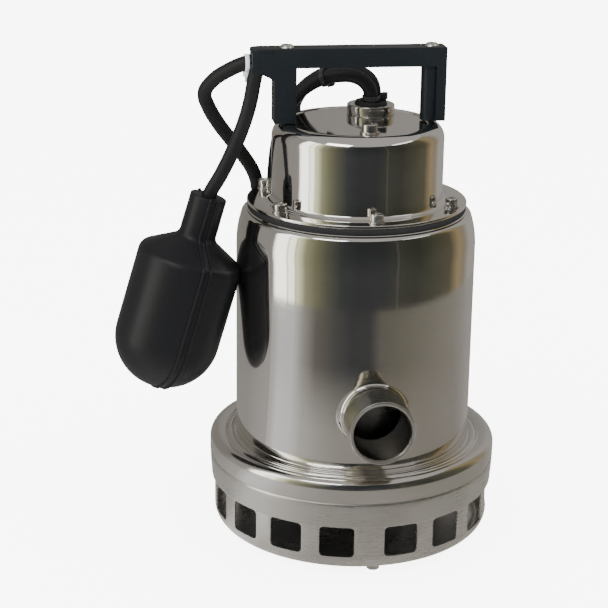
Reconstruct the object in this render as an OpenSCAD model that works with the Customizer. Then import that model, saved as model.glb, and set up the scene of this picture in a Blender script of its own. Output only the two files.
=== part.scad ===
// Submersible sump pump with a float switch, standing on three feet.
// Z is the motor axis and the floor is z = 0; the discharge points along -Y,
// the handle lies along X and the float hangs on the -X side.
// node = "all" draws the whole pump, any other name draws that node alone.

/* [Casing] */
// Outside radius of the jacket tube
jacket_r = 78.5; // [60:0.5:100]
// Thickness of the stainless sheet
sheet = 1.2; // [0.8:0.1:2]
// Height of the jacket's top flange above the floor
jacket_top = 222.5; // [180:0.5:280]
// Outside radius of the stepped base ring
ring_r = 96.2; // [80:0.1:120]

/* [Strainer] */
// Outside radius of the strainer basket
basket_r = 93.2; // [70:0.1:120]
// Height of the feet under the basket
foot_h = 4.5; // [2:0.5:15]
// Windows in each of the four groups
windows = 4; // [2:1:6]
// Angle that one window takes
window_angle = 13.9; // [6:0.1:20]
// Angle between neighbouring windows
window_bar = 7.45; // [2:0.05:20]
// Turn of the basket on its seat
basket_turn = -2.3; // [-10:0.1:10]

/* [Discharge] */
// Height of the discharge nipple's axis
outlet_z = 106; // [80:0.5:150]
// Outside radius of the pipe thread
thread_r = 20.95; // [16:0.05:30]
// Pitch of the pipe thread
thread_pitch = 2.309; // [1:0.001:3]
// Radius of the nipple's bore
outlet_bore_r = 18; // [12:0.1:26]
// Distance of the nipple's mouth from the motor axis
outlet_reach = 108.5; // [90:0.5:140]

/* [Motor cap] */
// Outside radius of the cap
cap_r = 55.9; // [40:0.1:70]
// Radius of the cap's flange
flange_r = 71.7; // [55:0.1:90]
// Height of the cap's top above the floor
cap_top = 279.5; // [240:0.5:320]
// Radius of the screw circle on the flange
screw_circle = 64.3; // [50:0.1:80]
// Turn of the cap on the jacket
cap_turn = 1.2; // [-10:0.1:10]

/* [Handle] */
// Height of the handle's top face
handle_top = 327.4; // [300:0.1:360]
// Half of the handle's length
handle_x = 55.4; // [40:0.1:70]
// Half of the handle's depth
handle_y = 8; // [5:0.1:12]
// Depth of the grip bar
grip_h = 12.2; // [8:0.1:20]

/* [Float] */
// Largest radius of the float
float_r = 34.5; // [25:0.5:45]
// Length of the float from its neck to its round end
float_l = 132.5; // [100:0.5:170]
// Lean of the hanging float
float_lean = 16.4; // [0:0.1:40]
// Droop of the switch lever under the switch at rest
lever_angle = 14; // [5:1:20]

/* [Cables] */
// Diameter of both cables
cable_d = 9.5; // [7:0.1:12]
// Middle radius of the coil's outer turns
coil_r = 66.5; // [50:0.5:90]
// Turns side by side in the coil
coil_wide = 3; // [1:1:5]
// Layers in the coil
coil_high = 4; // [1:1:6]

/* [Hidden] */
$fn = 96;
steel = "#b9b7b2";
bright = "#d6d5d0";
black = "#1d1f21";
rubber = "#2a2b2c";
copper = "#b06a3a";
iron = "#77797c";
brass = "#b89a4e";
cream = "#d9d4c2";

basket_z = foot_h;
basket_top = 53;
ring_z = 53.2;
ring_top = 68;
seam_z = 64.6;
plate_z = 44;
chamber_z = 47;
seal_plate_z = 66;
can_r = 62;
can_z = 70;
gasket_h = 3.8;
flange_z = jacket_top + gasket_h;
flange_h = 2.3;
gland = [13, 26];
vent = [1, -35];
post_x = 46.8;
post_r = 6.4;
lug_x = 70.5;
cable_r = cable_d / 2;

// place where the float's cable leaves the lug, and where the neck hangs
pivot = [-68, -3, 306.4];
neck = [-97, -3, 233];

// where the coil of the mains lead lies, and where its plug lies
coil_at = [30, 176];
plug_at = [52, 277, 19.5];

// the mains lead, from its gland to the coil's outer turn
power_route = [
  [12, 21.5, 283], [12, 21.5, 292], [9, 22, 299], [2, 24, 303.5], [-8, 27, 304],
  [-18, 31, 301.5], [-27, 36, 296], [-34, 42, 288.5], [-39, 49, 278],
  [-42, 57, 265], [-44, 64.5, 250], [-45, 70, 234], [-45.5, 72.5, 216],
  [-45, 73, 195], [-45, 73, 172], [-45, 74, 149], [-46, 78, 124], [-47, 84, 100],
  [-47, 92, 76], [-46, 100, 54], [-44, 109, 33], [-41, 122, 16], [-38, 138, 7],
  [-36.5, 157, 4.75], [-36.5, 176, 4.75]
];

// the float's cable, from its gland round the back to the handle's lug
float_route = [
  [15.5, 30.4, 283], [15.5, 30.4, 294], [13, 31.5, 300], [6, 33.5, 304.5],
  [-4, 37, 305.5], [-14, 41.5, 303], [-23, 47, 297], [-30, 54, 288],
  [-33, 62, 276], [-27.5, 73, 262], [-18.5, 83, 246], [-9, 91, 229],
  [-3, 96.5, 211], [-5, 100, 195], [-15, 101, 185], [-28, 99, 181], [-40, 94, 185],
  [-49, 87.5, 196], [-54.5, 79, 211], [-59, 67.5, 229], [-69, 54, 246.5],
  [-79, 43.5, 260.5], [-87, 36, 272], [-94, 29.5, 284.5], [-97, 22.5, 295],
  [-93, 17, 303], [-84, 10, 311], [-70.5, 3, 318]
];

// the float's cable, from the lug down to the float's neck
drop_route = [
  [-68, -3, 306.4], [-70.5, -3, 293], [-75, -3, 278], [-82, -3, 261],
  [-89.5, -3, 246], neck, [-102.6, -3, 213.8]
];

// the free end of the mains lead, from the coil's top turn to the plug
lead_route = [
  [-45.5, 176, 28], [-46.5, 190, 22], [-47, 204, 15.5], [-46, 218, 9.5],
  [-43, 232, 6], [-37, 245, 5], [-29, 256, 6], [-19, 265, 9], [-8, 272, 14],
  [3, 276.5, 18.5], [12, 277, 19.5], [21, 277, 19.5]
];

// ---------- helpers ----------

// unit vector, and the direction of a route at point i
function unit(v) = v / norm(v);
function along(path, i) =
  unit(path[min(i + 1, len(path) - 1)] - path[max(i - 1, 0)]);

// side vector of the ring at point i, kept close to the one before it
function side(path, i) =
  i == 0
    ? unit(cross(along(path, 0), abs(along(path, 0)[1]) < 0.9 ? [0, 1, 0] : [1, 0, 0]))
    : let (last = side(path, i - 1), d = along(path, i)) unit(last - d * (last * d));

// tube of radius r swept along a route, with flat ends
module tube(path, r, sides = 10) {
  pts = [for (i = [0:len(path) - 1])
    let (s = side(path, i), t = cross(along(path, i), s))
    for (k = [0:sides - 1])
      path[i] + r * (cos(360 * k / sides) * s + sin(360 * k / sides) * t)];
  n = len(path);
  walls = [for (i = [0:n - 2], k = [0:sides - 1])
    let (a = i * sides + k, b = i * sides + (k + 1) % sides)
    [a, b, b + sides, a + sides]];
  start = [for (k = [sides - 1:-1:0]) k];
  end = [for (k = [0:sides - 1]) (n - 1) * sides + k];
  polyhedron(points = pts, faces = concat([start], walls, [end]), convexity = 8);
}

// ring of rectangular section
module ring(r_in, r_out, h) {
  difference() {
    cylinder(r = r_out, h = h);
    translate([0, 0, -1]) cylinder(r = r_in, h = h + 2);
  }
}

// copies round the motor axis
module around(n, r, start = 0) {
  for (i = [0:n - 1])
    rotate([0, 0, start + i * 360 / n]) translate([0, -r, 0]) children();
}

// hexagon socket head screw, its head standing on z = 0 and its shank below
module cap_screw(head_r, head_h, shank_r, length, key_r) {
  difference() {
    union() {
      cylinder(r = head_r, h = head_h - 0.4);
      translate([0, 0, head_h - 0.4])
        cylinder(r1 = head_r, r2 = head_r - 0.4, h = 0.4);
      translate([0, 0, -length]) cylinder(r = shank_r, h = length + 0.1);
    }
    translate([0, 0, head_h - key_r]) cylinder(r = key_r, h = key_r + 1, $fn = 6);
  }
}

// curved vane between two radii, as a piece of a thin tube
module vane(r_in, r_out, bend, t, h) {
  intersection() {
    translate([0, bend, 0]) ring(bend - t / 2, bend + t / 2, h);
    translate([r_in, -1, 0]) cube([r_out - r_in, bend, h]);
  }
}

// ---------- strainer and base ----------

// outline of the basket's sheet, inset by t
module basket_shape(t) {
  corner = 10 - t;
  difference() {
    union() {
      translate([0, basket_z + t]) square([basket_r - 10, basket_top - basket_z]);
      translate([0, basket_z + 10]) square([basket_r - t, basket_top - basket_z]);
      translate([basket_r - 10, basket_z + 10]) circle(r = corner);
    }
    translate([-20, 0]) square([20, 100]);
    translate([0, basket_top]) square([200, 100]);
  }
}

module strainer() {
  wide = 90 - (windows * window_angle + (windows - 1) * window_bar);
  color(steel)
    rotate([0, 0, basket_turn])
      difference() {
        rotate_extrude() difference() {
          basket_shape(0);
          basket_shape(sheet);
        }
        for (g = [0:3], i = [0:windows - 1])
          rotate([0, 0, g * 90 + wide / 2 + window_angle / 2
            + i * (window_angle + window_bar) - 90])
            window_cut();
        around(3, 80, -basket_turn + 1) translate([0, 0, basket_z - 1])
          cylinder(r = 3.1, h = 4, $fn = 48);
      }
}

// one window with round corners, cut outwards through the wall
module window_cut() {
  c = 2.6;
  w = basket_r * sin(window_angle / 2) - c;
  h = 10.2 - c;
  corners = [[w, h], [-w, h], [-w, -h], [w, -h]];
  translate([basket_r - 6, 0, 25]) rotate([90, 0, 90])
    linear_extrude(height = 12)
      polygon([for (k = [0:3], a = [0:18:90])
        corners[k] + c * [cos(90 * k + a), sin(90 * k + a)]]);
}

module strainer_feet() {
  color(steel)
    around(3, 80, 1)
      rotate_extrude() {
        square([3, basket_z + 4.5]);
        polygon([[0, 0], [3.2, 0], [4.2, 0.9], [4.6, basket_z], [0, basket_z]]);
      }
}

module strainer_studs() {
  color(iron)
    around(3, 80, 1) {
      translate([0, 0, basket_z + 4.5]) cylinder(r = 2.9, h = plate_z - basket_z - 4.5);
      translate([0, 0, basket_z + sheet + 0.15])
        difference() {
          cylinder(r = 4.4, h = 4, $fn = 6);
          translate([0, 0, -1]) cylinder(r = 3.02, h = 6);
        }
    }
}

module clamp_band() {
  color(steel)
    rotate_extrude() difference() {
      union() {
        polygon([[basket_r, 36], [94, 35.9], [95.2, 37.2], [95.3, 39], [96, 48],
          [95.9, basket_top - 0.6], [95.3, basket_top], [basket_r, basket_top]]);
      }
      translate([basket_r, 38]) square([0.9, 13]);
    }
}

// half section of the base ring: outer bead, valley, inner bead and fillet
module ring_shape() {
  difference() {
    union() {
      translate([basket_r - 8, ring_z]) square([10.3, 4]);
      translate([84, ring_z]) square([ring_r - 84, ring_top - 6 - ring_z]);
      translate([84, ring_z]) square([ring_r - 6 - 84, ring_top - ring_z]);
      translate([ring_r - 6, ring_top - 6]) circle(r = 6);
      translate([jacket_r, ring_z]) square([7, 11]);
      translate([82.6, 64.2]) circle(r = 2.6);
      translate([jacket_r, 62]) square([2, 3.4]);
    }
    translate([86.6, 68.4]) circle(r = 2.9);
    translate([jacket_r + 1, ring_z - 1]) square([ring_r - jacket_r - 3, 9]);
    translate([87, ring_z]) square([5, 10.6]);
    translate([jacket_r - 1, seam_z + 0.9]) square([1.6, 4]);
  }
}

module base_ring() {
  color(bright) rotate_extrude() ring_shape();
}

module suction_plate() {
  color(steel)
    difference() {
      translate([0, 0, plate_z]) cylinder(r = basket_r - sheet - 0.1, h = 3);
      translate([0, 0, plate_z - 1]) cylinder(r = 24, h = 6);
    }
}

module wear_ring() {
  color(rubber)
    translate([0, 0, plate_z + 0.2]) ring(19.4, 24, 5.4);
}

module diffuser() {
  color(black) {
    difference() {
      translate([0, 0, chamber_z]) cylinder(r = 77, h = seal_plate_z - chamber_z);
      translate([0, 0, chamber_z + 3]) cylinder(r = 74, h = 40);
      translate([0, 0, chamber_z - 1]) cylinder(r = 58, h = 10);
    }
    for (i = [0:7])
      rotate([0, 0, i * 45])
        translate([0, 0, chamber_z + 1]) vane(57, 66, 90, 3,
          seal_plate_z - chamber_z - 1);
  }
}

module seal_plate() {
  color(steel)
    difference() {
      translate([0, 0, seal_plate_z]) cylinder(r = jacket_r - sheet - 0.1, h = 4);
      translate([0, 0, seal_plate_z - 1]) cylinder(r = 14, h = 6);
      around(8, 69, 22.5) translate([-9, -3.5, seal_plate_z - 1]) cube([18, 7, 6]);
    }
}

// ---------- jacket and discharge ----------

// outline of the jacket tube and its round shoulder, inset by t
module jacket_shape(t) {
  big = 61;
  difference() {
    union() {
      translate([0, seam_z]) square([jacket_r - t, 195 - seam_z + 4.5]);
      intersection() {
        translate([jacket_r - big, 199.5]) circle(r = big - t, $fn = 240);
        translate([0, 199]) square([200, 19]);
      }
      translate([0, 217]) square([72.2, jacket_top - 217 - t]);
      translate([71.2 - t / 4, 217.6]) circle(r = 4.5 - t * 0.75);
    }
    translate([-150, 0]) square([150, 400]);
    translate([0, jacket_top - t]) square([200, 60]);
  }
}

module jacket() {
  color(bright)
    difference() {
      rotate_extrude() difference() {
        jacket_shape(0);
        jacket_shape(sheet);
        square([67, 400]);
      }
      translate([0, -jacket_r + 12, outlet_z]) rotate([90, 0, 0])
        cylinder(r = thread_r - 0.2, h = 40);
    }
}

module jacket_flange() {
  color(steel)
    difference() {
      translate([0, 0, jacket_top - sheet - 5]) ring(62.2, 69.8, 5);
      around(6, screw_circle, cap_turn) translate([0, 0, jacket_top - 12])
        cylinder(r = 2.1, h = 20, $fn = 32);
    }
}

// the nipple points along -Y: drawn upright, then laid down
module discharge_nipple() {
  first = 85.5;
  color(steel)
    translate([0, 0, outlet_z]) rotate([90, 0, 0])
      difference() {
        rotate_extrude() difference() {
          union() {
            translate([0, 71]) square([thread_r - 0.2, 13.5]);
            translate([0, 80]) square([thread_r, outlet_reach - 81]);
            polygon([[0, outlet_reach - 1], [thread_r, outlet_reach - 1],
              [thread_r - 1, outlet_reach], [0, outlet_reach]]);
          }
          for (i = [0:8])
            translate([0, first + i * thread_pitch])
              polygon([[thread_r + 0.5, -0.25], [thread_r, 0.1],
                [thread_r - 1.25, thread_pitch / 2],
                [thread_r, thread_pitch - 0.1],
                [thread_r + 0.5, thread_pitch + 0.25]]);
          translate([-5, 60]) square([5 + outlet_bore_r, 60]);
        }
        rotate([-90, 0, 0]) translate([0, 0, -40])
          cylinder(r = jacket_r - sheet - 2, h = 80);
      }
}

module nipple_collar() {
  color(bright)
    difference() {
      translate([0, 0, outlet_z]) rotate([90, 0, 0])
        rotate_extrude() difference() {
          polygon([[thread_r, 74], [thread_r + 3.2, 74], [thread_r + 2.8, 76.8],
            [thread_r + 1.1, 79.5], [thread_r, 80.2]]);
          translate([0, 70]) square([thread_r + 0.02, 20]);
        }
      translate([0, 0, outlet_z - 40]) cylinder(r = jacket_r + 0.02, h = 80, $fn = 180);
    }
}

// ---------- motor ----------

module motor_can() {
  color(steel)
    rotate_extrude() {
      translate([can_r - 1.5, can_z]) square([1.5, 141]);
      translate([50, can_z]) square([11, 1.5]);
      translate([can_r - 1.5, 209.5]) square([7, 1.5]);
    }
}

module oil_chamber() {
  color(iron)
    rotate_extrude() {
      translate([40, can_z + 1.5]) square([4, 17]);
      translate([14, can_z + 18.5]) square([30, 3]);
      translate([44, can_z + 18.5]) square([16.4, 3]);
    }
}

module seal_seat() {
  color(cream)
    translate([0, 0, seal_plate_z + 0.3]) ring(8.2, 13.9, 5.7);
}

module lip_seal() {
  color(rubber)
    translate([0, 0, can_z + 18.7]) ring(6.06, 13.9, 4);
}

module ball_bearing(r_in, r_out, h) {
  ring(r_in, r_in + 2.6, h);
  ring(r_out - 2.6, r_out, h);
  for (i = [0:7])
    rotate([0, 0, i * 45]) translate([(r_in + r_out) / 2, 0, h / 2])
      sphere(r = (r_out - r_in) / 2 - 2.7, $fn = 64);
}

module bearings() {
  color(bright)
    for (z = [94.5, 196.5])
      translate([0, 0, z]) ball_bearing(6.03, 16, 9);
}

module lower_bracket() {
  color(iron)
    difference() {
      union() {
        translate([0, 0, 91.6]) cylinder(r = can_r - 1.7, h = 3);
        translate([0, 0, 91.6]) cylinder(r = 20, h = 13);
      }
      translate([0, 0, 94.4]) cylinder(r = 16.02, h = 20);
      translate([0, 0, 80]) cylinder(r = 14, h = 40);
    }
}

module upper_bracket() {
  color(iron)
    difference() {
      union() {
        translate([0, 0, 202.5]) cylinder(r = can_r - 1.7, h = 3.5);
        translate([0, 0, 195]) cylinder(r = 20, h = 11);
      }
      translate([0, 0, 190]) cylinder(r = 16.02, h = 15.6);
      around(6, 45) translate([0, 0, 190]) cylinder(r = 6, h = 30, $fn = 48);
    }
}

module stator_core() {
  color(iron)
    difference() {
      translate([0, 0, 120]) cylinder(r = 56, h = 52);
      translate([0, 0, 119]) cylinder(r = 27.6, h = 54);
      for (i = [0:17])
        rotate([0, 0, i * 20]) translate([30, -2.6, 119]) cube([14, 5.2, 54]);
      around(4, 58) translate([0, 0, 119]) cylinder(r = 4, h = 54, $fn = 32);
    }
}

module stator_windings() {
  color(copper) for (i = [0:17])
    rotate([0, 0, i * 20]) translate([31, -2, 119.8]) cube([12, 4, 52.3]);
  color(copper)
    rotate_extrude()
      for (z = [105, 172.2])
        translate([0, z]) {
          translate([33, 0]) square([13, 14.6]);
          translate([30.5, 2.5]) square([18, 9.6]);
          for (x = [33, 46], y = [2.5, 12.1])
            translate([x, y]) circle(r = 2.5, $fn = 32);
        }
}

module shaft() {
  color(bright)
    difference() {
      union() {
        translate([0, 0, 43]) cylinder(r = 4, h = 7);
        translate([0, 0, 49]) cylinder(r = 6, h = 156);
        translate([0, 0, 108]) cylinder(r = 8, h = 84);
      }
      translate([4.4, -1.5, 50]) cube([3, 3, 12]);
    }
}

module rotor_core() {
  color(iron) translate([0, 0, 120]) ring(8.01, 27, 52);
}

module rotor_rings() {
  color(cream) {
    translate([0, 0, 113]) ring(17, 26.4, 6.98);
    translate([0, 0, 172.02]) ring(17, 26.4, 6.98);
  }
}

module impeller() {
  color(steel)
    difference() {
      union() {
        translate([0, 0, 58]) cylinder(r = 52, h = 3);
        translate([0, 0, 50]) cylinder(r = 11, h = 13);
        for (i = [0:5])
          rotate([0, 0, i * 60]) translate([0, 0, 50.6]) vane(14, 50, 34, 2.4, 8);
      }
      translate([0, 0, 40]) cylinder(r = 6.01, h = 40);
    }
}

module impeller_key() {
  color(iron) translate([4.45, -1.45, 50.2]) cube([1.3, 2.9, 11.5]);
}

module impeller_nut() {
  color(bright) {
    translate([0, 0, 47.4]) ring(4.05, 9, 1.58);
    translate([0, 0, 43.2])
      difference() {
        cylinder(r = 7.5, h = 4.15, $fn = 6);
        translate([0, 0, -1]) cylinder(r = 4.02, h = 8);
      }
  }
}

module seal_rotary() {
  color(iron) {
    translate([0, 0, seal_plate_z + 6.1]) ring(6.02, 11, 4);
    translate([0, 0, seal_plate_z + 10.2]) ring(6.02, 12, 8);
  }
}

module cover_plate() {
  color(iron)
    difference() {
      translate([0, 0, 211.1]) cylinder(r = 67, h = 3);
      translate([0, 0, 205]) cylinder(r = 9, h = 18);
    }
}

module capacitor() {
  color(cream)
    translate([0, 30, 214.2]) {
      cylinder(r = 15, h = 36);
      translate([0, 0, 36]) cylinder(r = 13, h = 2.5);
    }
}

module capacitor_clip() {
  color(steel)
    translate([0, 30, 214.2]) {
      translate([0, 0, 12]) ring(15.1, 16.2, 9);
      translate([-4, -17.5, 0]) cube([8, 1.4, 21]);
      translate([-4, -19.5, 0]) cube([8, 3, 1.5]);
    }
}

module terminal_block() {
  color(cream)
    translate([-18, -38, 214.2])
      difference() {
        cube([36, 14, 12]);
        for (i = [0:3]) translate([5 + i * 8.7, 7, 4]) cylinder(r = 2.6, h = 10, $fn = 32);
      }
}

// ---------- cap ----------

module cap_gasket() {
  color(black)
    difference() {
      translate([0, 0, jacket_top]) ring(56, 71.2, gasket_h);
      around(6, screw_circle, cap_turn) translate([0, 0, jacket_top - 1])
        cylinder(r = 2.6, h = 8, $fn = 32);
    }
}

// outline of the cap, inset by t: flange, fillet, wall and round top edge
module cap_shape(t) {
  top = cap_top - t;
  wall = cap_r - t;
  edge = 9.5 - t;
  square([wall, top - flange_z - edge]);
  square([cap_r - 9.5, top - flange_z]);
  translate([cap_r - 9.5, top - flange_z - edge]) circle(r = edge);
}

module motor_cap() {
  color(bright)
    difference() {
      rotate_extrude() translate([0, flange_z]) difference() {
        union() {
          cap_shape(0);
          square([flange_r - 0.6, flange_h]);
          translate([0, 0.6]) square([flange_r, flange_h - 1.2]);
          for (y = [0.6, flange_h - 0.6])
            translate([flange_r - 0.6, y]) circle(r = 0.6, $fn = 24);
          difference() {
            square([cap_r + 3.5, flange_h + 3.5]);
            translate([cap_r + 3.5, flange_h + 3.5]) circle(r = 3.5, $fn = 48);
          }
        }
        translate([0, -1]) square([cap_r - 1.6, 4]);
        intersection() {
          cap_shape(1.6);
          square([100, 200]);
        }
        translate([0, cap_top - flange_z - 0.8]) square([cap_r - 10.8, 5]);
        translate([-20, -5]) square([20, 90]);
      }
      around(6, screw_circle, cap_turn) translate([0, 0, flange_z - 1])
        cylinder(r = 2.6, h = 8, $fn = 32);
      translate([gland[0], gland[1], cap_top - 6]) cylinder(r = 11.6, h = 12);
      translate([vent[0], vent[1], cap_top - 6]) cylinder(r = 3.1, h = 12, $fn = 32);
      for (x = [-post_x, post_x])
        translate([x, 0, cap_top - 12]) cylinder(r = 2.6, h = 16, $fn = 32);
    }
}

module cap_washers() {
  color(bright)
    around(6, screw_circle, cap_turn) translate([0, 0, flange_z + flange_h])
      ring(2.65, 4.9, 1);
}

module cap_screws() {
  color(bright)
    around(6, screw_circle, cap_turn) translate([0, 0, flange_z + flange_h + 1])
      rotate([0, 0, 10]) cap_screw(4.25, 5, 2.05, 14, 2.1);
}

module vent_screw() {
  color(bright)
    translate([vent[0], vent[1], cap_top - 0.8]) {
      ring(3.05, 6.2, 1.2);
      translate([0, 0, 1.2]) cap_screw(5, 5, 3, 8, 2.4);
    }
}

module gland_nut() {
  color(bright)
    translate([gland[0], gland[1], cap_top - 0.8])
      difference() {
        union() {
          cylinder(r = 15.8, h = 6.2);
          translate([0, 0, 6.2]) cylinder(r1 = 15.8, r2 = 15.2, h = 0.6);
          translate([0, 0, -6]) cylinder(r = 11.5, h = 6.1);
        }
        translate([0, 0, -7]) cylinder(r = 10.6, h = 20);
      }
}

module gland_bush() {
  color(rubber)
    translate([gland[0], gland[1], cap_top - 5])
      difference() {
        union() {
          cylinder(r = 10.55, h = 11.5);
          translate([0, 0, 11.4]) cylinder(r1 = 10.5, r2 = 10.1, h = 1.6);
        }
        for (p = [power_route[0], float_route[0]])
          translate([p[0] - gland[0], p[1] - gland[1], 8.5])
            cylinder(r = cable_r + 0.05, h = 10, $fn = 48);
      }
}

// ---------- handle ----------

// frame seen from the front: bar, legs and the lug for the float's cable
module handle_front(left, right) {
  translate([-handle_x, handle_top - grip_h]) square([2 * handle_x, grip_h]);
  translate([-handle_x, cap_top + 0.4])
    square([left, handle_top - cap_top - 0.4]);
  translate([handle_x - right, cap_top + 0.4])
    square([right, handle_top - cap_top - 0.4]);
}

module handle() {
  t = 1.5;
  color(black)
    difference() {
      union() {
        translate([0, -handle_y + t, 0]) rotate([90, 0, 0])
          linear_extrude(height = t) handle_front(14, 6.6);
        translate([0, handle_y, 0]) rotate([90, 0, 0])
          linear_extrude(height = t) handle_front(6.6, 6.6);
        translate([-handle_x, -handle_y, handle_top - t])
          cube([2 * handle_x, 2 * handle_y, t]);
        for (x = [-handle_x, handle_x - t])
          translate([x, -handle_y, cap_top + 0.4])
            cube([t, 2 * handle_y, handle_top - cap_top - 0.4]);
        translate([-lug_x + handle_y, 0, handle_top - t])
          cylinder(r = handle_y, h = t);
        translate([-lug_x + handle_y, -handle_y, handle_top - t])
          cube([lug_x - handle_y - handle_x + 1, 2 * handle_y, t]);
        translate([0, handle_y - 0.6, 0]) rotate([90, 0, 0])
          linear_extrude(height = 2 * handle_y - 1.2)
            polygon([[-handle_x, handle_top - t], [-lug_x + 1, handle_top - t],
              [-lug_x + 1, 312.2], [-64, 311.7], [-handle_x, 307.4]]);
      }
      for (x = [-post_x, post_x])
        translate([x, 0, handle_top - 5]) cylinder(r = 2.7, h = 10, $fn = 32);
      translate([-lug_x - 2, 3, 317.5]) rotate([0, 90, 0])
        cylinder(r = cable_r + 0.05, h = 10, $fn = 48);
    }
}

module handle_posts() {
  color(black)
    for (x = [-post_x, post_x])
      translate([x, 0, cap_top + 0.1])
        difference() {
          cylinder(r = post_r, h = handle_top - 1.6 - cap_top);
          translate([0, 0, -1]) cylinder(r = 2.55, h = 60, $fn = 32);
        }
}

module handle_screws() {
  color(iron)
    for (x = [-post_x, post_x])
      translate([x, 0, handle_top]) {
        difference() {
          union() {
            cylinder(r1 = 4.75, r2 = 3.4, h = 1.9);
            translate([0, 0, -58]) cylinder(r = 2.5, h = 58.1, $fn = 32);
          }
          translate([0, 0, 0.5]) cylinder(r = 1.8, h = 4, $fn = 6);
        }
        translate([0, 0, -56.2])
          difference() {
            cylinder(r = 4.6, h = 4, $fn = 6);
            translate([0, 0, -1]) cylinder(r = 2.52, h = 8, $fn = 32);
          }
      }
}

// ---------- ties and cables ----------

// flat band round two cables that lie side by side along X
module pair_band(gap, w) {
  difference() {
    linear_extrude(height = w, center = true) {
      square([gap, cable_d + 2], center = true);
      for (x = [-gap / 2, gap / 2]) translate([x, 0]) circle(r = cable_r + 1);
    }
    linear_extrude(height = w + 2, center = true) {
      square([gap, cable_d + 0.1], center = true);
      for (x = [-gap / 2, gap / 2]) translate([x, 0]) circle(r = cable_r + 0.05);
    }
  }
  translate([gap / 2, -cable_r - 2.6, 0]) cube([5, 3.6, 4.4], center = true);
}

module cable_ties() {
  color(black) {
    translate([13.75, 25.95, 289.8]) rotate([0, 0, 68.5]) pair_band(9.6, 3);
    translate([-16, 36.25, 302.25]) rotate([70.2, -7.6, 69.1]) pair_band(11.34, 3);
  }
}

module lug_tie() {
  color("#d9dcdc")
    translate([-73.2, 3.4, 317.2]) rotate([0, 90, 0]) {
      ring(cable_r + 0.1, cable_r + 1.1, 2.6);
      translate([cable_r + 0.6, -2.6, -0.9]) cube([3.2, 5.2, 4.4]);
      translate([cable_r + 3.8, -1, 0]) cube([3.6, 1, 2.6]);
    }
}

module float_cable() {
  color(rubber) tube(float_route, cable_r);
}

module power_cord() {
  color(rubber) tube(power_route, cable_r);
}

module cord_coil() {
  mid = coil_r - (coil_wide - 1) / 2 * cable_d;
  half = coil_wide * cable_d / 2;
  tall = coil_high * cable_d;
  color(rubber)
    translate([coil_at[0], coil_at[1], 0]) rotate_extrude() {
      translate([mid - half, cable_r]) square([2 * half, tall - cable_d]);
      translate([mid - half + cable_r, 0]) square([2 * half - cable_d, tall]);
      for (x = [-half + cable_r, half - cable_r], y = [cable_r, tall - cable_r])
        translate([mid + x, y]) circle(r = cable_r, $fn = 48);
    }
}

module coil_tie() {
  mid = coil_r - (coil_wide - 1) / 2 * cable_d;
  half = coil_wide * cable_d / 2;
  tall = coil_high * cable_d;
  color(black)
    translate([coil_at[0], coil_at[1], 0]) rotate([0, 0, 100])
      translate([mid, 0, 0]) rotate([90, 0, 0])
        linear_extrude(height = 9, center = true)
          difference() {
            translate([-half - 1.3, 0]) square([2 * half + 2.6, tall + 1.3]);
            translate([-half - 0.1, -1]) square([2 * half + 0.2, tall + 1.1]);
          }
}

module cord_lead() {
  color(rubber) tube(lead_route, cable_r);
}

module plug_body() {
  color(black)
    translate(plug_at) rotate([0, 90, 0])
      difference() {
        rotate_extrude()
          polygon([[0, 16], [18.4, 16], [19.4, 15], [19.4, 3], [18.4, 1],
            [15.4, -2], [13.2, -14], [10, -22], [8.6, -24], [7, -40], [0, -40]]);
        translate([0, 0, -41]) cylinder(r = cable_r + 0.05, h = 11);
        for (y = [-9.5, 9.5]) translate([0, y, 8]) cylinder(r = 2.45, h = 10, $fn = 32);
      }
}

module plug_pins() {
  color(brass)
    translate(plug_at) rotate([0, 90, 0])
      for (y = [-9.5, 9.5])
        translate([0, y, 8.1]) {
          cylinder(r = 2.4, h = 25.5, $fn = 48);
          translate([0, 0, 25.5]) cylinder(r1 = 2.4, r2 = 1.2, h = 1.4, $fn = 48);
        }
}

// ---------- float ----------

// put a piece drawn along the float's axis, neck at 0 and end at -float_l
module hang() {
  translate(neck) rotate([0, float_lean, 0]) children();
}

// half outline of the float grown by e, with s measured down from the neck
module float_half(e) {
  r = float_r + e;
  c = 25 + e;
  x = float_r - 25;
  end = float_l - float_r;
  difference() {
    union() {
      translate([0, -27]) square([12 + e, 27 + e]);
      polygon([[0, -24.5 + e], [12, -24.5 + e * 1.4], [x + c * 0.7071, -57.4 + c * 0.7071],
        [x + c * 0.7071, -60], [0, -60]]);
      translate([x, -57.4]) circle(r = c);
      translate([0, -end]) square([r, end - 57.4]);
      translate([0, -end]) circle(r = r);
    }
    translate([-100, -200]) square([100, 300]);
  }
}

module float_shell() {
  color(black)
    hang() difference() {
      union() {
        rotate_extrude() float_half(0);
        rotate([0, 0, 13.6]) rotate([90, 0, 90])
          linear_extrude(height = 6.4, center = true) {
            float_half(1.1);
            mirror([1, 0]) float_half(1.1);
          }
      }
      rotate_extrude() intersection() {
        float_half(-2.4);
        translate([0, -150]) square([60, 116]);
      }
      translate([0, 0, -36]) cylinder(r = 6.3, h = 22);
      translate([0, 0, -15]) cylinder(r = cable_r + 0.05, h = 20);
    }
}

module neck_grommet() {
  color(rubber)
    hang() translate([0, 0, -35]) ring(cable_r + 0.05, 6.2, 12);
}

module float_cable_drop() {
  color(rubber) tube(drop_route, cable_r - 0.05);
}

module ball_cage() {
  color(cream)
    hang() {
      translate([0, 0, -107]) difference() {
        cylinder(r = 11.5, h = 48);
        translate([0, 0, 2]) cylinder(r = 9.2, h = 60);
        for (a = [0, 90]) rotate([0, 0, a]) translate([-20, -3, 8]) cube([40, 6, 24]);
      }
      for (a = [0, 180])
        rotate([0, 0, a]) {
          translate([-4, 9.4, -62]) cube([8, 2, 20]);
          translate([-4, 6.05, -46]) cube([8, 4, 4]);
        }
    }
}

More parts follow.
